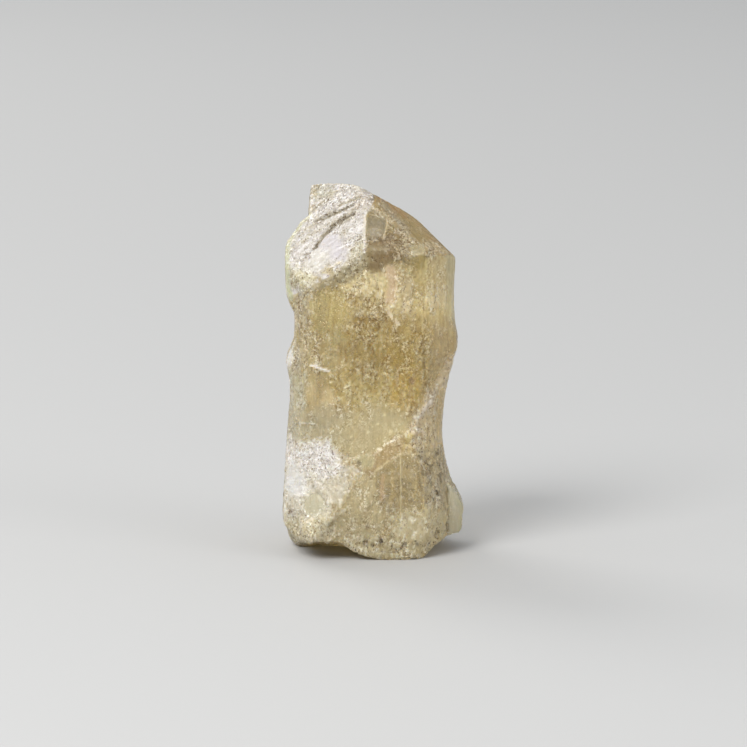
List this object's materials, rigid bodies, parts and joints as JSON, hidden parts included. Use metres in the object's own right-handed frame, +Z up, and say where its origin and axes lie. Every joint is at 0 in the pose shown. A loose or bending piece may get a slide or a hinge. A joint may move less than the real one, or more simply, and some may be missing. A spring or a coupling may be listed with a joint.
{
  "type": "scapolite crystal",
  "caption": "Stubby see-through honey-gold mineral crystal with a slanted frosty tip and a broken base that it stands on.",
  "frame": {"origin": "bottom centre of the bounding box, on the surface that the crystal stands on", "axes": "+Z up along the crystal's long (c) axis, -Y towards the broad face with the bright slanted face above it, +X to the right seen from there"},
  "size_m": [0.0142, 0.0122, 0.0292],
  "materials": {
    "scapolite": "satin"
  },
  "bodies": {
    "root": {"scapolite_crystal": "scapolite"}
  },
  "joints": []
}
